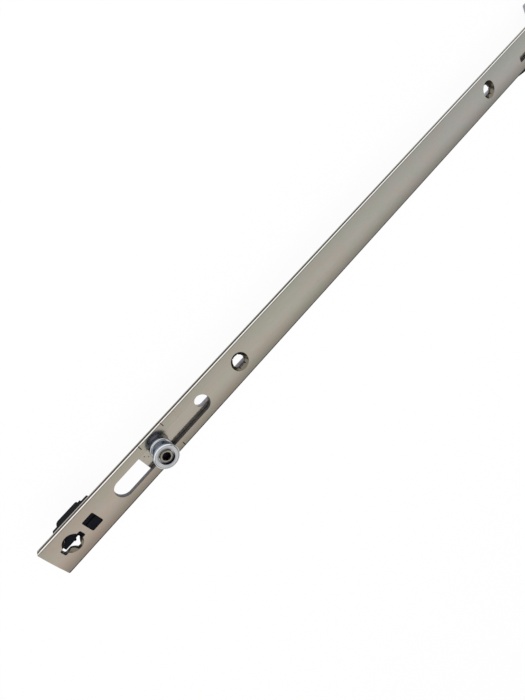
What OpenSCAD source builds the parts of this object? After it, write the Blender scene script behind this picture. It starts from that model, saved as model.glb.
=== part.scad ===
// Window espagnolette gearbox: a long faceplate with a sliding drive rod behind it.
// The handle spindle turns a toothed follower in the gear casing, which drives the rod.
// Mushroom rollers on the rod hook behind strikers in the window frame.
// +X runs along the faceplate to its upper end, +Z out of its front face, Y along the spindle.
// The origin is the centre of the spindle hole. Millimetres.

/* [Faceplate] */
// Distance from the handle axis to each end of the faceplate
arm_len = 410; // [390:1:500]
// Width of the faceplate
plate_w = 16; // [15:0.5:20]
// Thickness of the faceplate
plate_t = 2.5; // [2.2:0.1:3]
// Rounding of the two long front edges
plate_edge_r = 0.8; // [0.3:0.1:1.2]
// Rounding of the four corners, seen from the front
plate_corner_r = 0.8; // [0.3:0.1:2]
// Height of the outward bulge in the edge beside the accessory slot
bulge_h = 1.2; // [0.6:0.1:1.4]
// Length of that bulge
bulge_len = 24; // [20:1:30]

/* [Screw holes] */
// Distance from the faceplate's end to the outer sash screw hole
outer_screw_at = 104.75; // [100:0.25:125]
// Distance from the faceplate's end to the inner sash screw hole
inner_screw_at = 291; // [280:1:300]
// Diameter of a sash screw hole
screw_hole_d = 5.6; // [5:0.1:5.8]
// Diameter of a countersink at the front face
sink_d = 8.3; // [7.5:0.1:9]
// Width of a screw hole's six pointed corners where they leave the bore
corner_w = 0.65; // [0.4:0.05:0.65]
// Radius that the pointed corners reach
corner_reach = 3.5; // [3.3:0.1:3.8]

/* [End hole and peg hole] */
// Distance from the faceplate's end to the end hole
end_hole_at = 10.05; // [9:0.05:11]
// Diameter of the end hole at the front face
end_hole_d = 7.9; // [7.5:0.1:8.5]
// Least radius between the four inward petals of the end hole
petal_in_r = 2.65; // [2.3:0.05:2.9]
// Rounding radius of each petal
petal_r = 4.5; // [3.8:0.1:6]
// Width of the two rectangular notches of the end hole
notch_w = 2.85; // [2:0.05:3.2]
// Overall length of the end hole over its notches
notch_span = 10.1; // [9:0.1:10.5]
// Sideways shift of the end hole and of the peg hole toward the +Y edge
end_shift = 0.3; // [0.1:0.1:0.5]
// Distance from the faceplate's end to the square peg hole
peg_at = 20.3; // [19.5:0.1:21.5]
// Length of the peg hole along the faceplate
peg_len = 5.4; // [4:0.1:6]
// Width of the peg hole across the faceplate
peg_w = 5.9; // [4.5:0.1:6.5]

/* [Cam slot] */
// Distance from the faceplate's end to the middle of the cam slot
slot_at = 59.1; // [58:0.1:60]
// Overall length of the cam slot
slot_len = 52; // [50:0.5:54]
// Width of the cam slot
slot_w = 7.8; // [7.6:0.1:8.4]
// Spacing along the faceplate of the scored marks beside the cam
mark_gap = 12.2; // [10:0.1:15]
// Length of a scored mark
mark_len = 2.2; // [1:0.1:3]

/* [Accessory slot] */
// Distance from the faceplate's lower end to the start of the accessory slot
acc_slot_at = 318.5; // [316:0.5:325]
// Length of the accessory slot
acc_slot_len = 16; // [10:1:20]
// Width of the accessory slot, from the centre line to its far side
acc_slot_w = 3.3; // [2.5:0.1:4]

/* [Handle axis] */
// Backset, from the faceplate's front face to the spindle axis
backset = 15; // [14.5:0.1:18]
// Width of the square spindle hole
square_w = 7.1; // [6.1:0.1:8.1]
// Spacing of the two handle screws
handle_gap = 43; // [42:0.5:44]
// Bore for a handle screw
handle_bore_d = 5.3; // [5:0.1:5.5]
// Outer diameter of the steel sleeve round a handle screw
sleeve_d = 7; // [6.6:0.1:8]

/* [Drive rod] */
// Width of the drive rod
rod_w = 10.6; // [10:0.1:11.4]
// Thickness of the drive rod
rod_t = 3; // [2.6:0.1:3.2]
// Width of the drive rod beside the gear casing
waist_w = 8; // [7.6:0.1:8.2]
// Distance from the faceplate's end to the rod's end, in the middle position
rod_end_at = 48.4; // [47:0.1:50]
// Width of the lengthwise slots in the rod
rod_slot_w = 5; // [5:0.1:5.6]
// Free play at each end of a screw slot in the rod, beyond the travel
rod_slot_spare = 4.9; // [1:0.1:5.6]

/* [Gear] */
// Teeth that a full circle of the follower would hold
gear_teeth = 10; // [10:1:10]
// Teeth that are cut
cut_teeth = 7; // [7:2:9]
// Depth of the pitch line under the rod's front face
pitch_depth = 0.84; // [0.7:0.02:1]
// Pressure angle of the teeth
pressure_angle = 28; // [27:1:30]
// Thickness of a rack bar on the pitch line
bar_t = 3.3; // [3:0.1:3.5]
// Play between a tooth and its window on the pitch line
backlash = 0.3; // [0.2:0.05:0.5]
// Width of the toothed disc along the spindle
gear_w = 4.4; // [3.6:0.1:4.4]
// Radius of the follower's journals
journal_r = 7.6; // [7:0.1:7.7]

/* [Gear casing] */
// Length of the casing along the faceplate
casing_len = 72; // [70:1:76]
// Width of the casing along the spindle
casing_w = 12; // [11.8:0.1:12.6]
// Wall thickness of the casing
wall = 1.4; // [1.2:0.1:1.6]
// Distance from the handle axis to each pair of fixing tabs
tab_at = 28; // [27:0.5:28]
// Length of a fixing tab along the faceplate
tab_len = 6; // [4:0.5:6]
// Distance from the handle axis to the casing rivets, along the faceplate
rivet_at = 31; // [30:0.5:31.5]
// Diameter of a casing rivet
rivet_d = 3; // [2.5:0.1:3.2]

/* [Cam] */
// Distance from the faceplate's end to the axis of the cam's shank
cam_at = 58.2; // [57.5:0.1:59]
// Offset of the roller's axis from the shank's axis
cam_offset = 0.8; // [0.4:0.1:1]
// Diameter of the roller's head
head_d = 10.4; // [9.5:0.1:12]
// Diameter of the roller's neck
neck_d = 8; // [7.6:0.1:8.4]
// Diameter of the roller's foot flange
foot_d = 9.4; // [9:0.1:10]
// Height of the roller's face above the faceplate
cam_h = 8.85; // [8.2:0.05:10]
// Diameter of the pin's shank in the rod
shank_d = 4; // [3.6:0.1:4.4]
// Diameter of the pin's axle in the roller
axle_d = 4.6; // [4.3:0.1:4.9]
// Diameter of the pin's head
pin_head_d = 5.3; // [5.2:0.1:5.6]
// Width over the corners of the adjusting socket
socket_d = 3.3; // [2.8:0.1:3.6]

/* [Rod guides] */
// Distance from the faceplate's end to the guide stud
guide_at = 200; // [195:1:210]
// Diameter of the guide stud
guide_d = 4.4; // [4:0.1:4.5]
// Diameter of the guide washer
washer_d = 9.6; // [8.5:0.1:10.5]

/* [End clips] */
// Distance from the faceplate's end to the near end of the clip
clip_start = 5.7; // [5.5:0.1:6.5]
// Distance from the faceplate's end to the far end of the clip
clip_end = 25.6; // [25:0.1:28]
// Width of the clip across the faceplate
clip_w = 11.8; // [11:0.1:12]
// Depth of the clip's low part behind the faceplate
clip_low = 6.4; // [5:0.1:7]
// Depth of the clip's raised block behind the faceplate
clip_high = 9.6; // [8.5:0.1:10]
// Distance from the clip's near end to its raised block
block_from = 2.8; // [2:0.1:4]
// Length of the raised block
block_len = 11; // [9:0.1:12]

/* [Clearances] */
// Gap on each side of a sliding face
slide_gap = 0.2; // [0.15:0.01:0.25]
// Radial gap of a running fit
run_gap = 0.05; // [0.02:0.01:0.08]
// Gap round a piece that is pressed or riveted in place
fit_gap = 0.05; // [0.02:0.01:0.1]
// Clear space round the teeth and other moving corners
free_gap = 0.4; // [0.3:0.05:0.5]

/* [Hidden] */
$fn = 64;
cut = 1;
arms = [0, 1];
sides = [-1, 1];
body_gap = 0.3;
plate_back = backset - plate_t;
rod_top = plate_back - slide_gap;
rod_base = rod_top - rod_t;
pitch_r = rod_top - pitch_depth;
travel = pitch_r * PI / 2;
tooth_pitch = 2 * PI * pitch_r / gear_teeth;
tooth_t = tooth_pitch - bar_t - backlash;
base_r = pitch_r * cos(pressure_angle);
tip_r = plate_back - body_gap;
root_r = rod_base - body_gap;
flank_steps = 6;
rack_w = gear_w + 2 * body_gap;
half_w = casing_w / 2;
inner_w = half_w - wall;
casing_top = rod_base - slide_gap;
casing_base = -tip_r - free_gap - wall;
casing_corner_r = 3;
cheek_in = waist_w / 2 + body_gap;
cheek_t = half_w - cheek_in;
tab_step = 0.2;
tab_t = cheek_t - tab_step;
tab_sunk = 0.1;
gear_mouth = sqrt(pow(tip_r, 2) - pow(casing_top - wall, 2)) + free_gap;
waist_spare = 0.8;
waist_half = casing_len / 2 + travel + waist_spare;
boss_wall = 1.5;
boss_r = sleeve_d / 2 + boss_wall;
rivet_lip = 1;
rivet_sink = 0.9;
rivet_recess = 0.05;
rivet_boss_r = rivet_d / 2 + 1.3;
rivet_head_r = rivet_d / 2 + rivet_lip;
rivet_slope = rivet_lip / rivet_sink;
rivet_mouth_r = rivet_head_r + fit_gap + rivet_slope * cut;
rivet_levels = [casing_top - wall - rivet_boss_r - rivet_sink, casing_base + wall + rivet_boss_r + free_gap];
detent_r = rod_base - body_gap;
detent_t = 1.7;
detent_from = gear_w / 2 + body_gap;
notch_r = 1.2;
notch_at = detent_r + notch_r / 2;
hub_r = journal_r + 0.5;
end_float = 0.1;
leaf_t = 0.4;
leaf_half = 14.5;
leaf_foot = 3;
leaf_lift = 0.1;
leaf_floor = casing_base + wall + leaf_lift;
leaf_crest = notch_r - notch_at - body_gap;
leaf_bend = 1.4;
leaf_nose = 0.7;
leaf_knee = 2;
leaf_inset = 0.1;
leaf_stop_t = 1;
leaf_stop_h = 1.4;
screw_slot_half = travel + screw_hole_d / 2 + rod_slot_spare;
guide_slot_half = travel + guide_d / 2 + 0.6;
washer_t = 1;
stud_head_t = 0.9;
stud_head_lip = 1;
end_notch_r = 0.5;
dimple_d = 0.7;
dimple_depth = 0.3;
dimple_spots = [[2.1, 1.6], [3.1, 0.2]];
end_rim = 0.15;
peg_corner_r = 0.6;
peg_sunk = 0.25;
peg_split_w = 0.5;
peg_split_from = 0.6;
clip_lip = 0.9;
clip_cut = 0.85;
clip_step = [1.5, 1.4];
clip_end_h = 3.7;
clip_block_r = 1.2;
clip_shoulder_at = 2.4;
clip_tooth = [0.7, 0.4];
slot_corner_r = 0.8;
mark_mid = 58.5;
mark_w = 0.25;
mark_depth = 0.2;
flange_r = slot_w / 2 - free_gap;
flange_lift = 0.1;
foot_t = 1.3;
foot_lift = 0.2;
foot_lip = 0.3;
head_t = 1.95;
head_bevel = 0.55;
edge_bevel = 0.2;
pin_head_t = 1.3;
pin_sunk = 0.5;
socket_depth = 2.2;
counterbore_gap = 0.5;
shank_foot_t = 1;
shank_foot_lip = 1.2;
spring_washer_t = 0.8;
spring_washer_lip = 2.4;

// Places a piece by its distance from the end of an arm: 0 is the lower arm, 1 the upper
module on_arm(arm, at) {
  mirror([arm, 0, 0]) translate([at - arm_len, 0, 0]) children();
}

// Turns an outline drawn in the X and Z plane into a slab from y0 to y1
module across(y0, y1) {
  translate([0, y1, 0]) rotate([90, 0, 0]) linear_extrude(y1 - y0) children();
}

// Rectangle with round corners, centred
module round_rect(len, wid, r) {
  square([len - 2 * r, wid], center = true);
  square([len, wid - 2 * r], center = true);
  for (sx = sides, sy = sides) {
    translate([sx * (len / 2 - r), sy * (wid / 2 - r)]) circle(r);
  }
}

// Slot with full round ends along X, centred
module long_slot(len, wid) {
  square([len - wid, wid], center = true);
  for (s = sides) translate([s * (len - wid) / 2, 0]) circle(wid / 2);
}

// Cross section of the faceplate: flat back, rounded front edges
module strip_section() {
  translate([-plate_w / 2, plate_back]) square([plate_w, plate_t - plate_edge_r]);
  translate([plate_edge_r - plate_w / 2, plate_back]) square([plate_w - 2 * plate_edge_r, plate_t]);
  for (s = sides) {
    translate([s * (plate_w / 2 - plate_edge_r), backset - plate_edge_r]) circle(plate_edge_r);
  }
}

// Bare strip, its corners rounded and its far edge bulging beside the accessory slot
module strip() {
  bulge_r = (pow(bulge_len / 2, 2) + pow(bulge_h, 2)) / (2 * bulge_h);
  intersection() {
    rotate([90, 0, 90]) linear_extrude(2 * arm_len, center = true) strip_section();
    translate([0, 0, plate_back]) linear_extrude(plate_t) round_rect(2 * arm_len, plate_w, plate_corner_r);
  }
  intersection() {
    translate([acc_slot_at + acc_slot_len / 2 - arm_len, bulge_r - plate_w / 2 - bulge_h, plate_back])
      cylinder(h = plate_t - plate_edge_r / 2, r = bulge_r, $fn = 256);
    translate([acc_slot_at + (acc_slot_len - bulge_len) / 2 - arm_len, -plate_w, plate_back])
      cube([bulge_len, plate_w, plate_t]);
  }
}

// Cut for a countersunk sash screw: a true bore with six pointed corners
module screw_cut() {
  sink_depth = (sink_d - screw_hole_d) / 2;
  corner_half = corner_w / 2 / (1 - screw_hole_d / 2 / corner_reach);
  translate([0, 0, plate_back - cut]) cylinder(h = plate_t + 2 * cut, d = screw_hole_d);
  translate([0, 0, backset - sink_depth]) cylinder(h = sink_depth, d1 = screw_hole_d, d2 = sink_d);
  translate([0, 0, plate_back - cut]) linear_extrude(plate_t + 2 * cut) {
    for (turn = [0, 60, 120]) rotate(turn)
      polygon([[-corner_reach, 0], [0, -corner_half], [corner_reach, 0], [0, corner_half]]);
  }
}

// Cut for the end hole: conical rim, four inward petals and two notches
module end_hole_cut() {
  sink_depth = end_hole_d / 2 - petal_in_r;
  petal_mid = petal_in_r + petal_r;
  translate([0, 0, backset - sink_depth])
    cylinder(h = sink_depth, r1 = petal_in_r, r2 = end_hole_d / 2);
  translate([0, 0, plate_back - cut]) linear_extrude(plate_t + 2 * cut) {
    difference() {
      circle(end_hole_d / 2 - end_rim);
      for (turn = [45 : 90 : 315]) rotate(turn) translate([petal_mid, 0]) circle(petal_r);
    }
    round_rect(notch_span, notch_w, end_notch_r);
  }
}

// Scored marks on both sides of the cam slot
module mark_cuts() {
  for (sx = sides, sy = sides) {
    translate([mark_mid + sx * mark_gap / 2, sy * (plate_w / 2 - mark_len / 2), backset])
      cube([mark_w, mark_len, 2 * mark_depth], center = true);
  }
}

// Zinc-plated steel faceplate
module faceplate() {
  color("silver") difference() {
    strip();
    for (arm = arms) {
      on_arm(arm, outer_screw_at) screw_cut();
      on_arm(arm, inner_screw_at) screw_cut();
      on_arm(arm, end_hole_at) translate([0, end_shift, 0]) end_hole_cut();
      on_arm(arm, 0) mark_cuts();
      on_arm(arm, peg_at) translate([0, end_shift, plate_back - cut])
        linear_extrude(plate_t + 2 * cut) round_rect(peg_len, peg_w, peg_corner_r);
      on_arm(arm, slot_at) translate([0, 0, plate_back - cut])
        linear_extrude(plate_t + 2 * cut) long_slot(slot_len, slot_w);
    }
    on_arm(0, acc_slot_at + acc_slot_len / 2) translate([0, -acc_slot_w / 2, plate_back - cut])
      linear_extrude(plate_t + 2 * cut) round_rect(acc_slot_len, acc_slot_w, slot_corner_r);
    for (sx = sides, sy = sides) {
      translate([sx * tab_at, sy * (cheek_in + tab_t / 2), plate_back + plate_t / 2])
        cube([tab_len + 2 * fit_gap, tab_t + 2 * fit_gap, plate_t + 2 * cut], center = true);
    }
  }
}

// Outline of the casing seen along the spindle, made smaller by inset
module casing_outline(inset) {
  x = casing_len / 2 - inset;
  r = casing_corner_r - inset / 2;
  translate([-x, casing_base + inset + r]) square([2 * x, casing_top - casing_base - 2 * inset - r]);
  translate([r - x, casing_base + inset]) square([2 * (x - r), 2 * r]);
  for (s = sides) translate([s * (x - r), casing_base + inset + r]) circle(r);
}

// One half of the zinc casing, drawn on the +Y side of the joint
module casing_half() {
  difference() {
    union() {
      difference() {
        across(0, half_w) casing_outline(0);
        across(-cut, inner_w) casing_outline(wall);
      }
      for (s = sides) {
        across(0, half_w - wall / 2) translate([s * handle_gap / 2, 0]) circle(boss_r);
        for (level = rivet_levels) {
          across(0, half_w - wall / 2) translate([s * rivet_at, level]) circle(rivet_boss_r);
        }
      }
      for (s = sides) {
        leaf_stop_at = leaf_half + free_gap + leaf_stop_t / 2;
        translate([s * leaf_stop_at, inner_w / 2 + wall / 4, leaf_floor + body_gap])
          cube([leaf_stop_t, inner_w + wall / 2, leaf_stop_h], center = true);
      }
      translate([-casing_len / 2, cheek_in, casing_top - wall])
        cube([casing_len, cheek_t, plate_back - fit_gap - casing_top + wall]);
      for (s = sides) {
        translate([s * tab_at - tab_len / 2, cheek_in, plate_back - cut])
          cube([tab_len, tab_t, plate_t + cut - tab_sunk]);
      }
    }
    across(inner_w - cut, half_w + cut) circle(journal_r + run_gap);
    translate([-gear_mouth, -cut, casing_top - wall - cut])
      cube([2 * gear_mouth, inner_w + cut, wall + 2 * cut]);
    for (s = sides) {
      across(-cut, half_w + cut) translate([s * handle_gap / 2, 0]) circle(sleeve_d / 2 + fit_gap);
      for (level = rivet_levels) {
        across(-cut, half_w + cut) translate([s * rivet_at, level]) circle(rivet_d / 2 + fit_gap);
        translate([s * rivet_at, half_w - rivet_sink, level]) rotate([-90, 0, 0])
          cylinder(h = rivet_sink + cut, r1 = rivet_d / 2 + fit_gap, r2 = rivet_mouth_r);
      }
    }
  }
}

// Casing half on the -Y side
module casing_left() {
  color("darkgray") mirror([0, 1, 0]) casing_half();
}

// Casing half on the +Y side
module casing_right() {
  color("darkgray") casing_half();
}

// Four countersunk rivets that hold the casing halves together
module casing_rivets() {
  cone_h = rivet_sink - rivet_recess;
  color("gainsboro") for (s = sides, level = rivet_levels) translate([s * rivet_at, 0, level]) {
    across(-half_w + rivet_sink, half_w - rivet_sink) circle(rivet_d / 2);
    for (turn = [-90, 90]) rotate([turn, 0, 0]) translate([0, 0, half_w - rivet_sink])
      cylinder(h = cone_h, r1 = rivet_d / 2, r2 = rivet_d / 2 + rivet_slope * cone_h);
  }
}

// Steel sleeve through the casing for a handle screw
module screw_sleeve(side) {
  color("lightsteelblue") across(-half_w, half_w) translate([side * handle_gap / 2, 0]) difference() {
    circle(sleeve_d / 2);
    circle(handle_bore_d / 2);
  }
}

// Leaf spring that clicks into the follower's notches, a folded steel strip on the casing floor
module detent_spring() {
  half = [
    [leaf_half, leaf_floor],
    [leaf_half - leaf_foot, leaf_floor],
    [leaf_knee, leaf_crest - leaf_bend],
    [leaf_nose, leaf_crest - leaf_t]
  ];
  under = concat([for (p = half) [-p[0], p[1]]], [for (i = [len(half) - 1 : -1 : 0]) half[i]]);
  over = [for (i = [len(under) - 1 : -1 : 0]) [under[i][0], under[i][1] + leaf_t]];
  color("slategray") across(detent_from + leaf_inset, detent_from + detent_t - leaf_inset)
    polygon(concat(under, over));
}

function inv_deg(a) = tan(a) * 180 / PI - a;
function flank_angle(r) = tooth_t * 90 / PI / pitch_r + inv_deg(pressure_angle)
  - (r > base_r ? inv_deg(acos(base_r / r)) : 0);
function flank_radii() = concat(
  [root_r - cut / 2],
  [for (i = [0 : flank_steps]) base_r + (tip_r - base_r) * i / flank_steps]
);

// One involute tooth pointing up
module tooth() {
  left = [for (r = flank_radii()) r * [-sin(flank_angle(r)), cos(flank_angle(r))]];
  right = [for (i = [len(left) - 1 : -1 : 0]) [-left[i][0], left[i][1]]];
  polygon(concat(left, right));
}

// Toothed follower with the square spindle hole, its journals and its notched detent disc
module follower_gear() {
  color("dimgray") difference() {
    union() {
      across(-half_w + end_float, half_w - end_float) circle(journal_r);
      across(-inner_w + slide_gap, inner_w - slide_gap) circle(hub_r);
      across(-gear_w / 2, gear_w / 2) {
        circle(root_r);
        for (i = [0 : cut_teeth - 1]) rotate((i - (cut_teeth - 1) / 2) * 360 / gear_teeth) tooth();
      }
      across(detent_from, detent_from + detent_t) difference() {
        circle(detent_r);
        for (turn = [-90, 0, 90]) rotate(turn) translate([0, -notch_at]) circle(notch_r);
      }
    }
    across(-half_w - cut, half_w + cut) square(square_w, center = true);
  }
}

// Window in the rod between two rack bars, narrow at the front
module rack_window() {
  wide = tooth_pitch - bar_t + 2 * (rod_t - pitch_depth) * tan(pressure_angle);
  narrow = tooth_pitch - bar_t - 2 * pitch_depth * tan(pressure_angle);
  slope = (wide - narrow) / 2 / rod_t;
  across(-rack_w / 2, rack_w / 2) polygon([
    [-wide / 2 - cut * slope, rod_base - cut],
    [wide / 2 + cut * slope, rod_base - cut],
    [narrow / 2 - cut * slope, rod_top + cut],
    [-narrow / 2 + cut * slope, rod_top + cut]
  ]);
}

// Flat steel drive rod with its rack windows, slots and cam holes
module drive_rod() {
  rod_half = arm_len - rod_end_at;
  color("gray") difference() {
    translate([0, 0, rod_base]) linear_extrude(rod_t) union() {
      for (s = sides) {
        translate([s * (rod_half + waist_half) / 2, 0]) square([rod_half - waist_half, rod_w], center = true);
      }
      square([2 * waist_half + cut, waist_w], center = true);
    }
    for (i = [-3 : 3]) translate([i * tooth_pitch, 0, 0]) rack_window();
    for (arm = arms) {
      for (at = [outer_screw_at, inner_screw_at]) {
        on_arm(arm, at) translate([0, 0, rod_base - cut])
          linear_extrude(rod_t + 2 * cut) long_slot(2 * screw_slot_half, rod_slot_w);
      }
      on_arm(arm, guide_at) translate([0, 0, rod_base - cut])
        linear_extrude(rod_t + 2 * cut) long_slot(2 * guide_slot_half, rod_slot_w);
      on_arm(arm, cam_at) translate([0, 0, rod_base - cut])
        cylinder(h = rod_t + 2 * cut, d = shank_d + 2 * run_gap);
      for (spot = dimple_spots) {
        on_arm(arm, rod_end_at + spot[0]) translate([0, spot[1], rod_top - dimple_depth])
          cylinder(h = cut, d = dimple_d);
      }
    }
  }
}

// Eccentric steel pin: riveted shank, flange in the cam slot, axle and socketed head
module cam_pin(arm) {
  shank_end = rod_base - fit_gap - spring_washer_t - fit_gap;
  flange_base = rod_top + flange_lift;
  pin_top = backset + cam_h - pin_sunk;
  color("lightgray") on_arm(arm, cam_at) difference() {
    union() {
      translate([0, 0, shank_end - shank_foot_t])
        cylinder(h = shank_foot_t, r = shank_d / 2 + shank_foot_lip);
      translate([0, 0, shank_end - cut / 2]) cylinder(h = flange_base - shank_end + cut, d = shank_d);
      translate([0, 0, flange_base]) cylinder(h = backset + foot_lift / 4 - flange_base, r = flange_r);
      translate([-cam_offset, 0, backset]) cylinder(h = cam_h - pin_head_t, d = axle_d);
      translate([-cam_offset, 0, pin_top - pin_head_t]) cylinder(h = pin_head_t - edge_bevel, d = pin_head_d);
      translate([-cam_offset, 0, pin_top - edge_bevel])
        cylinder(h = edge_bevel, d1 = pin_head_d, d2 = pin_head_d - 2 * edge_bevel);
    }
    translate([-cam_offset, 0, pin_top - socket_depth])
      cylinder(h = socket_depth + cut, d = socket_d, $fn = 6);
  }
}

// Mushroom roller that turns on the pin
module cam_roller(arm) {
  color("lightsteelblue") on_arm(arm, cam_at - cam_offset) translate([0, 0, backset])
    rotate_extrude() difference() {
    polygon([
      [0, foot_lift],
      [foot_d / 2 - edge_bevel, foot_lift],
      [foot_d / 2, foot_lift + edge_bevel],
      [foot_d / 2, foot_t],
      [foot_d / 2 - foot_lip, foot_t + foot_lip],
      [neck_d / 2, foot_t + foot_lip],
      [neck_d / 2, cam_h - head_t],
      [head_d / 2 - edge_bevel, cam_h - head_t],
      [head_d / 2, cam_h - head_t + edge_bevel],
      [head_d / 2, cam_h - head_bevel],
      [head_d / 2 - head_bevel, cam_h],
      [0, cam_h]
    ]);
    square([axle_d / 2 + run_gap, cam_h]);
    translate([0, cam_h - pin_head_t - pin_sunk - run_gap])
      square([pin_head_d / 2 + counterbore_gap, 2 * (pin_head_t + pin_sunk)]);
  }
}

// Spring washer between the rod and the cam pin's riveted end
module cam_washer(arm) {
  washer_z = rod_base - fit_gap - spring_washer_t;
  color("slategray") on_arm(arm, cam_at) translate([0, 0, washer_z]) difference() {
    cylinder(h = spring_washer_t, r = shank_d / 2 + spring_washer_lip);
    translate([0, 0, -cut]) cylinder(h = spring_washer_t + 2 * cut, r = shank_d / 2 + run_gap);
  }
}

// Shouldered stud welded behind the faceplate, passing through a slot in the rod
module guide_stud(arm) {
  end_z = rod_base - slide_gap - washer_t - fit_gap;
  color("lightgray") on_arm(arm, guide_at) {
    translate([0, 0, end_z]) cylinder(h = plate_back - end_z, d = guide_d);
    translate([0, 0, end_z - stud_head_t]) cylinder(h = stud_head_t, r = guide_d / 2 + stud_head_lip);
  }
}

// Plastic washer on the guide stud that keeps the rod against the faceplate
module guide_washer(arm) {
  color("#22242a") on_arm(arm, guide_at) translate([0, 0, rod_base - slide_gap - washer_t]) difference() {
    cylinder(h = washer_t, d = washer_d);
    translate([0, 0, -cut]) cylinder(h = washer_t + 2 * cut, r = guide_d / 2 + fit_gap);
  }
}

// Side view of the end clip: low bar with a bevelled far end, and the raised block with its step
module clip_side() {
  far_bevel = clip_low - clip_end_h;
  block_end = clip_start + block_from + block_len;
  polygon([
    [clip_start, 0],
    [clip_end, 0],
    [clip_end, far_bevel - clip_low],
    [clip_end - far_bevel / 2, -clip_low],
    [clip_start, -clip_low]
  ]);
  translate([block_end - block_len / 2, -clip_high / 2]) round_rect(block_len, clip_high, clip_block_r);
  translate([block_end - cut, -clip_low - clip_step[1]]) square([cut + clip_step[0], clip_step[1] + cut]);
}

// Plan of the end clip: it leaves half of the end hole open, with a small tooth and a recess
module clip_plan() {
  shoulder = end_hole_at + clip_shoulder_at;
  polygon([
    [clip_start, -clip_lip],
    [end_hole_at, -clip_lip],
    [end_hole_at, -clip_lip - clip_tooth[1]],
    [end_hole_at + clip_tooth[0], -clip_lip - clip_tooth[1]],
    [end_hole_at + clip_tooth[0] + edge_bevel, -clip_lip / 2],
    [shoulder, -clip_lip / 2],
    [shoulder, -clip_w / 2],
    [clip_end - clip_cut, -clip_w / 2],
    [clip_end, clip_cut - clip_w / 2],
    [clip_end, clip_w / 2 - clip_cut],
    [clip_end - clip_cut, clip_w / 2],
    [clip_start + clip_cut, clip_w / 2],
    [clip_start, clip_w / 2 - clip_cut]
  ]);
}

// Black plastic clip behind the end of the faceplate, snapped in by a split peg
module end_clip(arm) {
  top = plate_back - fit_gap;
  color("#1e2028") on_arm(arm, 0) {
    intersection() {
      translate([0, 0, top]) across(-clip_w / 2, clip_w / 2) clip_side();
      translate([0, 0, top - clip_high - cut]) linear_extrude(clip_high + cut) clip_plan();
    }
    translate([peg_at, end_shift, top - cut]) difference() {
      linear_extrude(plate_t + cut - peg_sunk)
        round_rect(peg_len - 2 * fit_gap, peg_w - 2 * fit_gap, peg_corner_r - fit_gap);
      translate([-peg_len, (peg_w / 3 - peg_split_w) / 2, cut + peg_split_from])
        cube([2 * peg_len, peg_split_w, plate_t]);
    }
  }
}

faceplate();
casing_left();
casing_right();
casing_rivets();
screw_sleeve(-1);  // screw_sleeve_lower
screw_sleeve(1);  // screw_sleeve_upper
detent_spring();
end_clip(0);  // end_clip_lower
end_clip(1);  // end_clip_upper
guide_stud(0);  // guide_stud_lower
guide_stud(1);  // guide_stud_upper
guide_washer(0);  // guide_washer_lower
guide_washer(1);  // guide_washer_upper
drive_rod();
follower_gear();
cam_pin(0);  // cam_pin_lower
cam_pin(1);  // cam_pin_upper
cam_roller(0);  // cam_roller_lower
cam_roller(1);  // cam_roller_upper
cam_washer(0);  // cam_washer_lower
cam_washer(1);  // cam_washer_upper
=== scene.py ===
# Window espagnolette gearbox: faceplate, geared casing, drive rod, mushroom rollers and end clips.
from math import cos, pi, radians

import bmesh
import bpy
from mathutils import Matrix, Vector


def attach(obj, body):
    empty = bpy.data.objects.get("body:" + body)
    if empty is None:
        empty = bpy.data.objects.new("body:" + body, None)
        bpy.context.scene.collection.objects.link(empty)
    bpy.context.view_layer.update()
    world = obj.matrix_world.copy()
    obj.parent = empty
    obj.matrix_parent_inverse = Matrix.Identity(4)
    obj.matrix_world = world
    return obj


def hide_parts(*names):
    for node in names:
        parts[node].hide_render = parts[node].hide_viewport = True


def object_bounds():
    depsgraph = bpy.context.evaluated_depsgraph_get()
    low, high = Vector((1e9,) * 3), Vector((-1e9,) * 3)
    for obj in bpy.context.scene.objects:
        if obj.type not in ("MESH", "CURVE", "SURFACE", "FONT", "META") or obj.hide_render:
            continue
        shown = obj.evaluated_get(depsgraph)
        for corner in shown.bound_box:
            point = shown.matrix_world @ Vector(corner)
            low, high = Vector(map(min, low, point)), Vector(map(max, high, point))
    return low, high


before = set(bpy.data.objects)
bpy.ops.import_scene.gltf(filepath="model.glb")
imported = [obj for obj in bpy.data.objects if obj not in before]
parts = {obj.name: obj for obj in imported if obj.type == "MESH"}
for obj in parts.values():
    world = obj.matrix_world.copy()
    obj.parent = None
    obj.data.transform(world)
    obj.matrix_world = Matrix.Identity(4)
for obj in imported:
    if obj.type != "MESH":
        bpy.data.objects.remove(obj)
cad_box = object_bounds()


# Faceplate
# A strip of cold-rolled steel, 16 x 2.5 mm, punched, countersunk and then zinc plated. Its long
# front edges are rolled round, and deburring leaves a fine break on the punched ones.

sharp_angle = radians(32)     # faces that meet at more than this make an edge, the rest a curve
flat_angle = radians(0.5)     # faces that meet at less than this are one flat face
merge_gap = 0.000001          # vertices closer than this are one


def linear(hex_colour):
    """sRGB hex colour as the linear colour that a shader needs."""
    channels = [int(hex_colour[i:i + 2], 16) / 255 for i in (1, 3, 5)]
    return [c / 12.92 if c <= 0.04045 else ((c + 0.055) / 1.055) ** 2.4 for c in channels] + [1]


def add(tree, kind, settings=None, links=None, stops=()):
    """One shader node with its settings, the links into its inputs, and a ramp's colour stops.

    A link starts at an output, or at a node whose first output is meant.
    """
    node = tree.nodes.new("ShaderNode" + kind)
    for name, value in (settings or {}).items():
        if isinstance(name, str) and hasattr(node, name):
            setattr(node, name, value)
        else:
            node.inputs[name].default_value = value
    for name, source in (links or {}).items():
        tree.links.new(getattr(source, "outputs", [source])[0], node.inputs[name])
    for i, (position, colour) in enumerate(stops):
        if i > 1:
            node.color_ramp.elements.new(position)
        node.color_ramp.elements[i].position = position
        node.color_ramp.elements[i].color = linear(colour)
    return node


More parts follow.
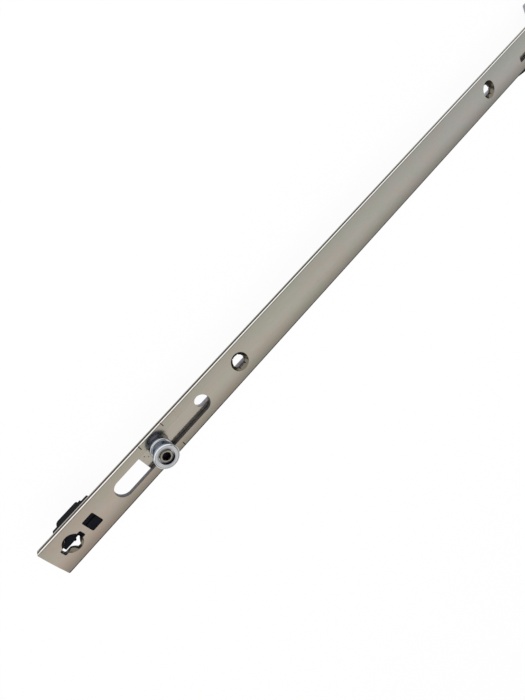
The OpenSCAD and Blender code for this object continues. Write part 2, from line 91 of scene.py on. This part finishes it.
def new_material(name):
    """Empty material: itself, its node tree and the outputs of its texture coordinates."""
    material = bpy.data.materials.new(name)
    material.use_nodes = True
    tree = material.node_tree
    tree.nodes.clear()
    return material, tree, add(tree, "TexCoord").outputs


def place_piece(name, bm, materials, body, slot, *nodes):
    """Makes a finished mesh a piece that rides on a body and stands for CAD nodes."""
    mesh = bpy.data.meshes.new(name)
    bmesh.ops.recalc_face_normals(bm, faces=bm.faces)
    bm.to_mesh(mesh)
    bm.free()
    mesh.shade_smooth()
    mesh.set_sharp_from_angle(angle=sharp_angle)
    for material in materials:
        mesh.materials.append(material)
    piece = bpy.data.objects.new(name, mesh)
    bpy.context.scene.collection.objects.link(piece)
    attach(piece, body)
    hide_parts(*nodes)
    return piece


def whole_copy(node):
    """Merged copy of a CAD node's loose triangles, with its flat faces whole again."""
    bm = bmesh.new()
    bm.from_mesh(parts[node].data)
    bmesh.ops.remove_doubles(bm, verts=bm.verts, dist=merge_gap)
    bmesh.ops.dissolve_limit(bm, angle_limit=flat_angle, verts=bm.verts, edges=bm.edges)
    return bm


def break_edges(bm, width, is_spared):
    """Rounds the sharp edges of a mesh by this width, but for those that are spared."""
    sharp = [e for e in bm.edges if e.calc_face_angle(0) > sharp_angle and not is_spared(e)]
    bmesh.ops.bevel(bm, geom=sharp, offset=width, offset_type="OFFSET", segments=2, profile=0.5,
                    affect="EDGES", material=-1, clamp_overlap=False, loop_slide=False)


def eased(name, node, material, body, slot, width):
    """Copy of a CAD node as a piece of one material, with its sharp edges rounded by this width."""
    piece = place_piece(name, whole_copy(node), [material], body, slot, node)
    rounding = piece.modifiers.new("edge break", "BEVEL")
    rounding.width = width
    rounding.segments = 2
    rounding.angle_limit = sharp_angle
    rounding.use_clamp_overlap = False
    rounding.loop_slide = False
    rounding.harden_normals = True


# Zinc plating on cold-rolled strip: satin grey and quite glossy, with very fine lines from the
# rolls, faint pink and green clouds in the passivation and a few small pits. The countersinks are
# painted a darker olive, and the punched walls rough, streaked and darker, both as painted shade.
plating, tree, coords = new_material("zinc-plated cold-rolled strip")
spot = add(tree, "SeparateXYZ", links={0: coords["Object"]}).outputs
facing = add(tree, "SeparateXYZ", links={0: coords["Normal"]}).outputs
from_mid = add(tree, "Math", {"operation": "ABSOLUTE"}, {0: spot["X"]})
from_line = add(tree, "Math", {"operation": "ABSOLUTE"}, {0: spot["Y"]})
level = add(tree, "Math", {"operation": "ABSOLUTE"}, {0: facing["Z"]})

# Front: warmer toward the strip's ends, with the clouds and the pits
toward_end = add(tree, "MapRange", {"From Min": 0.13, "From Max": 0.40}, {"Value": from_mid})
warm = add(tree, "ValToRGB", links={"Fac": toward_end},
           stops=[(0, "#B2B2AD"), (0.55, "#B8B6AA"), (1, "#BDB4A7")])
spread = add(tree, "Mapping", {"Scale": (70, 160, 160)}, {"Vector": coords["Object"]})
clouds = add(tree, "TexNoise", {"Scale": 1, "Detail": 3, "Roughness": 0.6}, {"Vector": spread})
haze = add(tree, "ValToRGB", links={"Fac": clouds},
           stops=[(0.34, "#FEFEFE"), (0.42, "#FFF9F7"), (0.50, "#FDFDFF"), (0.58, "#F8FCF8"),
                  (0.68, "#FEFEFE")])
tint = add(tree, "Mix", {"data_type": "RGBA", "blend_type": "MULTIPLY", 0: 1}, {6: warm, 7: haze})
cells = add(tree, "TexVoronoi", {"Scale": 260}, {"Vector": coords["Object"]})
pick = add(tree, "SeparateXYZ", links={0: cells.outputs["Color"]})
chosen = add(tree, "Math", {"operation": "GREATER_THAN", 1: 0.62}, {0: pick})
small = add(tree, "MapRange", {"From Min": 0.07, "From Max": 0.03, "To Max": 0.3},
            {"Value": cells})
pits = add(tree, "Math", {"operation": "MULTIPLY"}, {0: chosen, 1: small})
pitted = add(tree, "Mix", {"data_type": "RGBA", 7: linear("#5B5852")},
             {0: pits, 6: tint.outputs[2]})

# Countersinks: the sloping faces well inside the strip's width, painted a darker olive as painted
# shade
inside = add(tree, "MapRange", {"From Min": 0.0069, "From Max": 0.0063}, {"Value": from_line})
sloping = add(tree, "MapRange", {"From Min": 0.93, "From Max": 0.80}, {"Value": level})
cone = add(tree, "Math", {"operation": "MULTIPLY"}, {0: inside, 1: sloping})
cone_painted_shade = add(tree, "Mix", {"data_type": "RGBA", 7: linear("#6B6558")},
                {0: cone, 6: pitted.outputs[2]})

# Punched walls: the upright faces between the long edges, streaked by the shear and painted darker
# as painted shade
steep = add(tree, "MapRange", {"From Min": 0.55, "From Max": 0.25}, {"Value": level})
between = add(tree, "MapRange", {"From Min": 0.0078, "From Max": 0.0074}, {"Value": from_line})
wall = add(tree, "Math", {"operation": "MULTIPLY"}, {0: steep, 1: between})
shear = add(tree, "Mapping", {"Scale": (1600, 1600, 200)}, {"Vector": coords["Object"]})
streaks = add(tree, "TexNoise", {"Scale": 1, "Detail": 2}, {"Vector": shear})
torn_and_shaded = add(tree, "ValToRGB", links={"Fac": streaks}, stops=[(0.3, "#57575A"), (0.7, "#6D6C6F")])
walls = add(tree, "Mix", {"data_type": "RGBA"}, {0: wall, 6: cone_painted_shade.outputs[2], 7: torn_and_shaded})

# Long edges, from the slitting of the coil: a painted highlight where the near one rounds into the
# front, with a nearly black painted shade below it, and another at the top of the far edge
outer = add(tree, "MapRange", {"From Min": 0.0073, "From Max": 0.0078}, {"Value": from_line})
leaning = add(tree, "MapRange", {"From Min": 0.25, "From Max": 0.45}, {"Value": facing["Y"]})
above = add(tree, "MapRange", {"From Min": 0.0142, "From Max": 0.0144}, {"Value": spot["Z"]})
high = add(tree, "Math", {"operation": "MULTIPLY"}, {0: leaning, 1: above})
painted_edge_highlight = add(tree, "Math", {"operation": "MULTIPLY"}, {0: high, 1: outer})
edges = add(tree, "Mix", {"data_type": "RGBA", 7: linear("#E6E2DB")},
            {0: painted_edge_highlight, 6: walls.outputs[2]})
upright = add(tree, "MapRange", {"From Min": 0.80, "From Max": 0.92}, {"Value": facing["Y"]})
upper = add(tree, "MapRange", {"From Min": 0.0128, "From Max": 0.0133}, {"Value": spot["Z"]})
near_edge = add(tree, "Math", {"operation": "MULTIPLY"}, {0: upright, 1: outer})
near_painted_shade = add(tree, "Math", {"operation": "MULTIPLY"}, {0: near_edge, 1: upper})
rim = add(tree, "MapRange", {"From Min": 0.0139, "From Max": 0.0143}, {"Value": spot["Z"]})
far_edge = add(tree, "MapRange", {"From Min": -0.00725, "From Max": -0.0075}, {"Value": spot["Y"]})
far_painted_shade = add(tree, "Math", {"operation": "MULTIPLY"}, {0: far_edge, 1: rim})
painted_edge_shade = add(tree, "Math", {"operation": "MAXIMUM"}, {0: near_painted_shade, 1: far_painted_shade})
tone = add(tree, "Mix", {"data_type": "RGBA", 7: linear("#211D1C")}, {0: painted_edge_shade, 6: edges.outputs[2]})

# Lines from the rolls, in the gloss and the relief
rolled = add(tree, "Mapping", {"Scale": (30, 2400, 2400)}, {"Vector": coords["Object"]})
lines = add(tree, "TexNoise", {"Scale": 1, "Detail": 3, "Roughness": 0.5}, {"Vector": rolled})
polish = add(tree, "MapRange",
             {"From Min": 0.3, "From Max": 0.7, "To Min": 0.155, "To Max": 0.18}, {"Value": lines})
rough = add(tree, "Mix", {3: 0.5}, {0: wall, 2: polish})
relief = add(tree, "Bump", {"Strength": 0.04, "Distance": 0.00001}, {"Height": lines})
shader = add(tree, "BsdfPrincipled", {"Metallic": 1},
             {"Base Color": tone.outputs[2], "Roughness": rough, "Normal": relief})
add(tree, "OutputMaterial", links={"Surface": shader})

# Scored line: cut through the plating and dull, its floor painted nearly black as painted shade.
scored, tree, coords = new_material("scored line painted dark")
groove_mottle = add(tree, "TexNoise", {"Scale": 2500, "Detail": 2}, {"Vector": coords["Object"]})
tone = add(tree, "ValToRGB", links={"Fac": groove_mottle}, stops=[(0.3, "#1B1A1A"), (0.7, "#383634")])
shader = add(tree, "BsdfPrincipled", {"Metallic": 1, "Roughness": 0.6}, {"Base Color": tone})
add(tree, "OutputMaterial", links={"Surface": shader})

front = 0.015                                   # height of the faceplate's front
score_bottom, score_top = 0.0147, 0.0149        # between these lie the floors of the scored lines
rounded_from, rounded_above = 0.0072, 0.0138    # distance from the middle line, and height
fine_break = 0.00008


def is_scored_or_rolled(edge):
    """Edges of a scored line, and those of the long edges, which are rolled round already."""
    ends = [v.co for v in edge.verts]
    return (any(score_bottom < end.z < score_top for end in ends)
            or all(abs(end.y) > rounded_from and end.z > rounded_above for end in ends))


bm = whole_copy("faceplate")
for face in bm.faces:
    if face.normal.z > 0.9 and score_bottom < face.calc_center_median().z < score_top:
        face.material_index = 1
break_edges(bm, fine_break, is_scored_or_rolled)

# The front is rolled to a crown: it falls with the square of the distance from the middle line, in
# flat strips too narrow to see, and takes the countersinks' rims and the scored lines with it.
# Its normals are those of the smooth crown.
crown = 4.7                                     # drop over that square, per metre
crown_from, crown_full = 0.0130, 0.0149         # the drop fades in between these heights
strip_width, strips_a_side = 0.0012, 6
strip_length, lengths_a_side = 0.008, 51
cutting_gap = 0.0000002                         # vertices this near to a cut lie on it
sliver = 0.000002                               # edges shorter than this are dropped
cuts = [((0, i * strip_width, 0), (0, 1, 0)) for i in range(-strips_a_side, strips_a_side + 1)]
cuts += [((i * strip_length, 0, 0), (1, 0, 0)) for i in range(-lengths_a_side, lengths_a_side + 1)]
for point, across in cuts:
    bmesh.ops.bisect_plane(bm, geom=list(bm.verts) + list(bm.edges) + list(bm.faces),
                           dist=cutting_gap, plane_co=point, plane_no=across)
bmesh.ops.dissolve_degenerate(bm, dist=sliver, edges=bm.edges)
bm.verts.index_update()
crowned = set()
for v in bm.verts:
    if v.co.z > front - sliver:
        crowned.add(v.index)
    share = min(1, max(0, (v.co.z - crown_from) / (crown_full - crown_from)))
    strips = abs(v.co.y) / strip_width
    whole = int(strips)
    drop = (whole ** 2 + (strips - whole) * (2 * whole + 1)) * strip_width ** 2 * crown
    v.co.z -= share * drop
faceplate = place_piece("faceplate_strip", bm, [plating, scored], "frame", "zinc_plated_steel",
                        "faceplate")
mesh = faceplate.data
normals = []
for corner in mesh.loops:
    y = mesh.vertices[corner.vertex_index].co.y
    smooth = Vector((0, 2 * crown * y, 1)).normalized()
    normals.append(smooth if corner.vertex_index in crowned else (0, 0, 0))
mesh.normals_split_custom_set(normals)


# Gear casing
# Two halves of die-cast zinc alloy, clamped face to face round the follower. Two pairs of tabs
# on their upper edge are staked into the faceplate.

# Raw zinc casting: cool mid grey, slightly mottled where the metal chilled, with the fine grain
# of the die and rounded edges.
casting, tree, coords = new_material("raw die-cast zinc")
flow = add(tree, "TexNoise", {"Scale": 130, "Detail": 4, "Roughness": 0.6},
           {"Vector": coords["Object"]})
tone = add(tree, "ValToRGB", links={"Fac": flow}, stops=[(0.35, "#8E9094"), (0.65, "#A3A4A6")])
dull = add(tree, "MapRange", {"To Min": 0.36, "To Max": 0.62}, {"Value": flow})
grain = add(tree, "TexNoise", {"Scale": 1800, "Detail": 3}, {"Vector": coords["Object"]})
relief = add(tree, "Bump", {"Strength": 0.5, "Distance": 0.00003}, {"Height": grain})
shader = add(tree, "BsdfPrincipled", {"Metallic": 1},
             {"Base Color": tone, "Roughness": dull, "Normal": relief})
add(tree, "OutputMaterial", links={"Surface": shader})

for side in ("left", "right"):
    eased("casing_half_" + side, "casing_" + side, casting, "frame", "die_cast_zinc",
          width=0.00012)


# Casing rivets and screw sleeves
# Four countersunk steel rivets hold the casing halves together. Two steel sleeves through the
# casing take the pull of the handle's screws.

# Bright zinc plating on drawn steel: pale, fairly glossy, with a fine drawn grain.
bright, tree, coords = new_material("bright zinc-plated drawn steel")
drawn = add(tree, "Mapping", {"Scale": (2600, 300, 2600)}, {"Vector": coords["Object"]})
grain = add(tree, "TexNoise", {"Scale": 1, "Detail": 3}, {"Vector": drawn})
tone = add(tree, "ValToRGB", links={"Fac": grain}, stops=[(0.3, "#B4B6B9"), (0.7, "#C8C9CA")])
polish = add(tree, "MapRange", {"To Min": 0.2, "To Max": 0.36}, {"Value": grain})
shader = add(tree, "BsdfPrincipled", {"Metallic": 1}, {"Base Color": tone, "Roughness": polish})
add(tree, "OutputMaterial", links={"Surface": shader})

arms = ("lower", "upper")
eased("countersunk_rivets", "casing_rivets", bright, "frame", "bright_steel", width=0.0001)
for arm in arms:
    eased("handle_screw_sleeve_" + arm, "screw_sleeve_" + arm, bright, "frame", "bright_steel",
          width=0.00015)


# Follower
# The toothed follower is one zinc casting that turns on its journals in the casing. The handle's
# square spindle goes through it, and its teeth drive the rod.
eased("toothed_follower", "follower_gear", casting, "follower", "die_cast_zinc", width=0.00007)


# Detent spring
# A folded leaf of hardened steel strip lies on the casing's floor and clicks into the follower's
# notches.

# Tempered spring steel: dark blue-grey oxide from the hardening, smooth, with lines along the
# strip.
tempered, tree, coords = new_material("tempered spring steel")
rolled = add(tree, "Mapping", {"Scale": (120, 3000, 3000)}, {"Vector": coords["Object"]})
grain = add(tree, "TexNoise", {"Scale": 1, "Detail": 3}, {"Vector": rolled})
tone = add(tree, "ValToRGB", links={"Fac": grain}, stops=[(0.3, "#53575D"), (0.7, "#6E747D")])
polish = add(tree, "MapRange", {"To Min": 0.22, "To Max": 0.42}, {"Value": grain})
shader = add(tree, "BsdfPrincipled", {"Metallic": 1}, {"Base Color": tone, "Roughness": polish})
add(tree, "OutputMaterial", links={"Surface": shader})

parts["detent_spring"].data.materials.clear()
parts["detent_spring"].data.materials.append(tempered)


# Drive rod
# A flat steel bar, 10.6 x 3 mm, slotted and pierced in a press, with the rack's windows in its
# narrow waist. It slides behind the faceplate on two guide studs.

# Zinc plating on pressed bar: the faceplate's warm grey, less glossy; its striated sheared walls
# are painted darker as painted shade.
bar_plating, tree, coords = new_material("zinc-plated pressed bar")
rolled = add(tree, "Mapping", {"Scale": (90, 2400, 2400)}, {"Vector": coords["Object"]})
lines = add(tree, "TexNoise", {"Scale": 1, "Detail": 4, "Roughness": 0.6}, {"Vector": rolled})
tint = add(tree, "ValToRGB", links={"Fac": lines}, stops=[(0.3, "#B4AEA2"), (0.7, "#C0BAAE")])
facing = add(tree, "SeparateXYZ", links={0: coords["Normal"]}).outputs
level = add(tree, "Math", {"operation": "ABSOLUTE"}, {0: facing["Z"]})
wall = add(tree, "MapRange", {"From Min": 0.55, "From Max": 0.25}, {"Value": level})
shear = add(tree, "Mapping", {"Scale": (1500, 1500, 120)}, {"Vector": coords["Object"]})
streaks = add(tree, "TexNoise", {"Scale": 1, "Detail": 2, "Roughness": 0.7}, {"Vector": shear})
# Sheared walls: streaked, and painted darker as painted shade
torn_and_shaded = add(tree, "ValToRGB", links={"Fac": streaks}, stops=[(0.38, "#59575C"), (0.64, "#7E7B83")])
tone = add(tree, "Mix", {"data_type": "RGBA"}, {0: wall, 6: tint, 7: torn_and_shaded})
polish = add(tree, "MapRange", {"To Min": 0.14, "To Max": 0.24}, {"Value": lines})
relief = add(tree, "Bump", {"Strength": 0.2, "Distance": 0.00002}, {"Height": streaks})
shader = add(tree, "BsdfPrincipled", {"Metallic": 1},
             {"Base Color": tone.outputs[2], "Roughness": polish, "Normal": relief})
add(tree, "OutputMaterial", links={"Surface": shader})

dimples_from, dimples_within = 0.3575, 0.0022    # distance from the spindle and the middle line
flat_normals = {12.3: (0, 0, 1), 9.3: (0, 0, -1)}    # of front and back, by their heights in mm


def is_on_dimple(edge):
    """Edges of the two dimples at each end, which are too small for a broken edge."""
    return all(abs(v.co.x) > dimples_from and abs(v.co.y) < dimples_within for v in edge.verts)


bm = whole_copy("drive_rod")
break_edges(bm, fine_break, is_on_dimple)
rod = place_piece("slotted_drive_rod", bm, [bar_plating], "rod", "rod_steel", "drive_rod")
mesh = rod.data
normals = []
for face in mesh.polygons:
    heights = {round(mesh.vertices[i].co.z * 1000, 3) for i in face.vertices}
    flat = flat_normals.get(heights.pop()) if len(heights) == 1 else None
    normals += [flat or (0, 0, 0)] * len(face.vertices)
mesh.normals_split_custom_set(normals)


# Cam pins
# Each pin is turned from steel bar: a shank riveted in the rod, a flange in the slot, an eccentric
# axle and a head with a six-lobed socket, by which the closing pressure is set.

# Turned steel with a warm grey finish: fairly glossy, with the fine grain of the cut.
pin_steel, tree, coords = new_material("turned pin steel")
grain = add(tree, "TexNoise", {"Scale": 1300, "Detail": 3}, {"Vector": coords["Object"]})
tone = add(tree, "ValToRGB", links={"Fac": grain}, stops=[(0.3, "#A19B92"), (0.7, "#B1ABA1")])
polish = add(tree, "MapRange", {"To Min": 0.16, "To Max": 0.3}, {"Value": grain})
relief = add(tree, "Bump", {"Strength": 0.15, "Distance": 0.00001}, {"Height": grain})
shader = add(tree, "BsdfPrincipled", {"Metallic": 1},
             {"Base Color": tone, "Roughness": polish, "Normal": relief})
add(tree, "OutputMaterial", links={"Surface": shader})

# Pressed socket: its walls are painted nearly black as painted shade, with a gloss that varies.
socket_painted_shade, tree, coords = new_material("pressed socket painted dark")
socket_mottle = add(tree, "TexNoise", {"Scale": 2200, "Detail": 3}, {"Vector": coords["Object"]})
tone = add(tree, "ValToRGB", links={"Fac": socket_mottle}, stops=[(0.35, "#16161B"), (0.7, "#2C2A31")])
socket_gloss = add(tree, "MapRange", {"To Min": 0.25, "To Max": 0.5}, {"Value": socket_mottle})
shader = add(tree, "BsdfPrincipled", {"Metallic": 1}, {"Base Color": tone, "Roughness": socket_gloss})
add(tree, "OutputMaterial", links={"Surface": shader})

pin_x = {"lower": -0.3518, "upper": 0.3518}
eccentric = {"lower": -0.0008, "upper": 0.0008}
axle_x = {arm: pin_x[arm] + eccentric[arm] for arm in arms}


def spun(outline, x, bm=None):
    """Shape turned about an upright axis at x, from points (radius, height over front) in mm."""
    bm = bm or bmesh.new()
    points = [bm.verts.new((x + r / 1000, 0, front + z / 1000)) for r, z in outline]
    edges = [bm.edges.new(pair) for pair in zip(points, points[1:])]
    bmesh.ops.spin(bm, geom=points + edges, cent=(x, 0, 0), axis=(0, 0, 1), angle=2 * pi, steps=96,
                   use_merge=True)
    bmesh.ops.remove_doubles(bm, verts=bm.verts, dist=merge_gap)
    return bm


# Riveted foot, shank, and the flange in the slot
shank = [(0, -7.58), (2.75, -7.58), (3.08, -7.44), (3.20, -7.20), (3.20, -6.70), (3.12, -6.62),
         (2.00, -6.60), (2.00, -2.60),
         (3.36, -2.60), (3.50, -2.48), (3.50, -0.02), (3.40, 0.05), (0, 0.05)]
# Axle and head
axle = [(0, 0.00), (2.30, 0.00), (2.30, 7.05),
        (2.52, 7.05), (2.65, 7.16), (2.65, 8.14), (2.58, 8.27), (2.45, 8.35)]
head_face = axle[-1][1]
# Rings of the socket: mean radius, share of that in the lobes' wave, depth, material slot
socket = [(1.86, 0, 0, 0), (1.74, 0.03, 0.06, 0), (1.52, 0.12, 0.22, 1), (1.44, 0.15, 0.34, 1),
          (1.42, 0.15, 2.05, 1), (0.5, 0, 2.2, 1)]
lobes = 6
for arm in arms:
    bm = spun(shank, pin_x[arm])
    spun(axle, axle_x[arm], bm)
    rim = [e for e in bm.edges if e.is_boundary]
    for radius, wave, depth, material_slot in socket:
        ring = bmesh.ops.extrude_edge_only(bm, edges=rim)["geom"]
        rim = [e for e in ring if isinstance(e, bmesh.types.BMEdge) and e.is_boundary]
        for v in {v for e in rim for v in e.verts}:
            spoke = Vector((v.co.x - axle_x[arm], v.co.y)).normalized()
            turn = spoke.angle_signed(Vector((1, 0)))
            reach = radius / 1000 * (1 + wave * cos(lobes * turn))
            height = front + (head_face - depth) / 1000
            v.co = (axle_x[arm] + spoke.x * reach, spoke.y * reach, height)
        for face in {f for e in rim for f in e.link_faces}:
            face.material_index = material_slot
    bmesh.ops.holes_fill(bm, edges=rim, sides=0)
    place_piece("socketed_cam_pin_" + arm, bm, [pin_steel, socket_painted_shade], "pin_" + arm, "turned_steel",
                "cam_pin_" + arm)


# Mushroom rollers
# Each roller is turned from steel bar and runs free on its pin's axle: a broad head with a 45
# degree chamfer, a neck that the striker's hook takes, and a thin foot flange.

# Turned and blue-passivated steel, glossy: pale and cool on the faced ends; the turned sides are
# painted darker as a painted dark reflection, in the passivation's blue-violet. The tool's rings
# are too fine to show, so they are drawn 0.5 mm apart.
turned, tree, coords = new_material("turned and blue-passivated steel")
ring_pitch = 0.0005
spot = add(tree, "SeparateXYZ", links={0: coords["Object"]}).outputs
facing = add(tree, "SeparateXYZ", links={0: coords["Normal"]}).outputs
film = add(tree, "TexNoise", {"Scale": 420, "Detail": 2}, {"Vector": coords["Object"]})
ends = add(tree, "ValToRGB", links={"Fac": film},
           stops=[(0.34, "#C3C9CE"), (0.5, "#CBCFD1"), (0.66, "#CDD1D0")])
# Turned sides: painted darker than the ends, as a painted dark reflection
sides = add(tree, "ValToRGB", links={"Fac": film},
            stops=[(0.36, "#66748C"), (0.5, "#737F94"), (0.64, "#837D9C")])
side = add(tree, "MapRange", {"From Min": 0.62, "From Max": 0.30}, {"Value": facing["Z"]})
tone = add(tree, "Mix", {"data_type": "RGBA"}, {0: side, 6: ends, 7: sides})
grain = add(tree, "TexNoise", {"Scale": 1500, "Detail": 3}, {"Vector": coords["Object"]})
polish = add(tree, "MapRange", {"To Min": 0.13, "To Max": 0.22}, {"Value": grain})
from_mid = add(tree, "Math", {"operation": "ABSOLUTE"}, {0: spot["X"]})
from_axis = add(tree, "Math", {"operation": "SUBTRACT", 1: axle_x["upper"]}, {0: from_mid})
flat = add(tree, "CombineXYZ", links={0: from_axis, 1: spot["Y"]})
radius = add(tree, "VectorMath", {"operation": "LENGTH"}, {0: flat})
turns = add(tree, "Math", {"operation": "MULTIPLY", 1: 2 * pi / ring_pitch},
            {0: radius.outputs["Value"]})
rings = add(tree, "Math", {"operation": "SINE"}, {0: turns})
relief = add(tree, "Bump", {"Strength": 0.3, "Distance": 0.000002}, {"Height": rings})
shader = add(tree, "BsdfPrincipled", {"Metallic": 1},
             {"Base Color": tone.outputs[2], "Roughness": polish, "Normal": relief})
add(tree, "OutputMaterial", links={"Surface": shader})

# Foot flange, neck, head with its chamfer, counterbore round the pin's head, and bore
roller = [(2.35, 0.20), (4.42, 0.20), (4.60, 0.26), (4.70, 0.42),
          (4.70, 1.20), (4.63, 1.40), (4.42, 1.57), (4.14, 1.61),
          (4.03, 1.70), (4.00, 1.84), (4.00, 6.74), (4.04, 6.84), (4.14, 6.90),
          (4.98, 6.90), (5.14, 6.95), (5.20, 7.10), (5.20, 8.24), (5.15, 8.36),
          (4.74, 8.77), (4.62, 8.84), (4.50, 8.85), (3.29, 8.85), (3.18, 8.81),
          (3.15, 8.72), (3.15, 7.00), (2.35, 7.00), (2.35, 0.20)]
for arm in arms:
    bm = spun(roller, axle_x[arm])
    place_piece("mushroom_roller_" + arm, bm, [turned], "roller_" + arm, "turned_steel",
                "cam_roller_" + arm)


# Cam washers
# A washer of hardened spring steel sits between the rod and each pin's riveted end. It presses on
# both and holds the pin's setting.
for arm in arms:
    eased("cam_spring_washer_" + arm, "cam_washer_" + arm, tempered, "rod", "spring_steel",
          width=0.00012)


# Guide studs and washers
# A shouldered steel stud is welded behind each arm of the faceplate and passes through a slot in
# the rod. A moulded washer under its head keeps the rod close to the faceplate.

for arm in arms:
    eased("rod_guide_stud_" + arm, "guide_stud_" + arm, bright, "frame", "bright_steel",
          width=0.00012)

# Black acetal, injection moulded: near-black with a soft sheen, slightly uneven in colour and
# gloss, with a spark-eroded grain of about 0.25 mm.
moulded, tree, coords = new_material("black moulded acetal")
grain = add(tree, "TexNoise", {"Scale": 4200, "Detail": 3, "Roughness": 0.6},
            {"Vector": coords["Object"]})
patches = add(tree, "TexNoise", {"Scale": 260, "Detail": 2}, {"Vector": coords["Object"]})
tone = add(tree, "ValToRGB", links={"Fac": patches}, stops=[(0.35, "#111217"), (0.7, "#191A1F")])
sheen = add(tree, "MapRange", {"To Min": 0.55, "To Max": 0.7}, {"Value": patches})
relief = add(tree, "Bump", {"Strength": 0.35, "Distance": 0.00002}, {"Height": grain})
shader = add(tree, "BsdfPrincipled", {"Specular IOR Level": 0.03},
             {"Base Color": tone, "Roughness": sheen, "Normal": relief})
add(tree, "OutputMaterial", links={"Surface": shader})

for arm in arms:
    eased("rod_guide_washer_" + arm, "guide_washer_" + arm, moulded, "frame", "black_plastic",
          width=0.0001)


# End clips
# A black acetal clip lies behind each end of the faceplate and snaps in by a split peg. It half
# covers the end hole and fills the groove of the window's sash.
for arm in arms:
    eased("moulded_end_clip_" + arm, "end_clip_" + arm, moulded, "frame", "black_plastic",
          width=0.00015)


# Floor
# A white board under the gear casing. It shows plain white to the camera and to glossy metal,
# and keeps the part's soft shadow.
board_half, board_gap = 6, 0.0002
bm = bmesh.new()
bmesh.ops.create_grid(bm, x_segments=1, y_segments=1, size=board_half)
bmesh.ops.translate(bm, verts=bm.verts, vec=(0, 0, cad_box[0][2] - board_gap))
mesh = bpy.data.meshes.new("white board")
bm.to_mesh(mesh)
bm.free()
floor = bpy.data.objects.new("white_board", mesh)
bpy.context.scene.collection.objects.link(floor)

# Matt white board with faint fibres. The camera and glossy metal see most of it as a plain glow,
# so that it stays white up to the soft shadow.
board, tree, coords = new_material("matt white board")
fibres = add(tree, "TexNoise", {"Scale": 400, "Detail": 2}, {"Vector": coords["Object"]})
tone = add(tree, "ValToRGB", links={"Fac": fibres}, stops=[(0.3, "#F3F3F3"), (0.7, "#F6F6F6")])
shader = add(tree, "BsdfPrincipled", {"Roughness": 0.9}, {"Base Color": tone})
ray = add(tree, "LightPath").outputs
seen = add(tree, "Math", {"operation": "MAXIMUM"},
           {0: ray["Is Camera Ray"], 1: ray["Is Glossy Ray"]})
seen = add(tree, "Math", {"operation": "MAXIMUM"}, {0: seen, 1: ray["Is Transmission Ray"]})
share = add(tree, "Math", {"operation": "MULTIPLY", 1: 0.92}, {0: seen})
glow = add(tree, "Emission", {"Color": (1, 1, 1, 1), "Strength": 1.0})
mixed = add(tree, "MixShader", links={0: share, 1: shader, 2: glow})
add(tree, "OutputMaterial", links={"Surface": mixed})
mesh.materials.append(board)


# Studio light
# Metal shows a lightbox: a bright panel on each long side of the camera's gap, which stays dark.
# Everything else is lit evenly, with a wide soft lamp overhead.
world = bpy.data.worlds.new("studio")
world.use_nodes = True
bpy.context.scene.world = world
tree = world.node_tree
tree.nodes.clear()

# Panels by their angle from straight up, in degrees: toward -Y below nought and +Y above it
panels = [(-90, "#45423F"), (-52, "#6A6663"), (-40, "#86817D"), (-36, "#A7A29F"),
          (-32, "#D0CBC9"), (-28, "#D9D6D7"), (-24, "#CECDCB"), (-18, "#C8C6C5"),
          (-12, "#B4B4B3"), (-4, "#7C7E80"), (14, "#55585B"), (23, "#D8D9DA"),
          (30, "#FFFFFF"), (74, "#FFFFFF"), (84, "#5A5E68"), (90, "#2A2E38")]
toward = add(tree, "SeparateXYZ", links={0: add(tree, "TexCoord").outputs["Generated"]}).outputs
lean = add(tree, "Math", {"operation": "ARCTAN2"}, {0: toward["Y"], 1: toward["Z"]})
band = add(tree, "MapRange", {"From Min": -pi / 2, "From Max": pi / 2}, {"Value": lean})
studio = add(tree, "ValToRGB", links={"Fac": band},
             stops=[((angle + 90) / 180, colour) for angle, colour in panels])
ray = add(tree, "LightPath").outputs
sky = add(tree, "Background", {"Strength": 1.3}, {"Color": studio})
soft = add(tree, "Background", {"Color": (1, 1, 1, 1), "Strength": 0.65})
plain = add(tree, "Background", {"Color": (1, 1, 1, 1), "Strength": 1.0})
lit = add(tree, "MixShader", links={0: ray["Is Glossy Ray"], 1: soft, 2: sky})
seen = add(tree, "Math", {"operation": "MAXIMUM"},
           {0: ray["Is Camera Ray"], 1: ray["Is Transmission Ray"]})
whole = add(tree, "MixShader", links={0: seen, 1: lit, 2: plain})
add(tree, "OutputWorld", links={"Surface": whole})

lamp_place = Vector((-0.2, 0.3, 1.3))
lamp_aim = Vector((-0.2, 0, 0))
lamp = bpy.data.lights.new("overhead softbox", "AREA")
lamp.shape = "RECTANGLE"
lamp.size = 1.6
lamp.size_y = 1.2
lamp.energy = 12
softbox = bpy.data.objects.new("overhead softbox", lamp)
bpy.context.scene.collection.objects.link(softbox)
softbox.location = lamp_place
softbox.rotation_euler = (lamp_aim - lamp_place).to_track_quat("-Z", "Y").to_euler()
softbox.visible_glossy = False


# Camera
# The photograph's view, from above the cam and a little toward the gear casing. Its three axes
# and its place come from a camera fitted to the faceplate's edges and holes.
focal_pixels, long_side_pixels = 444.766, 700
view = bpy.data.cameras.new("photograph")
view.sensor_width = 36
view.lens = focal_pixels / long_side_pixels * view.sensor_width
view.clip_start = 0.01
camera = bpy.data.objects.new("photograph", view)
bpy.context.scene.collection.objects.link(camera)
right = Vector((0.659963, -0.587763, 0.467957))
up = Vector((0.726933, 0.656904, -0.200114))
back = Vector((-0.189783, 0.472241, 0.860796))
pose = Matrix((right, up, back)).transposed().to_4x4()
pose.translation = Vector((-0.330979, 0.086166, 0.179740))
camera.matrix_world = pose
bpy.context.scene.camera = camera
bpy.context.scene.view_settings.view_transform = "Standard"
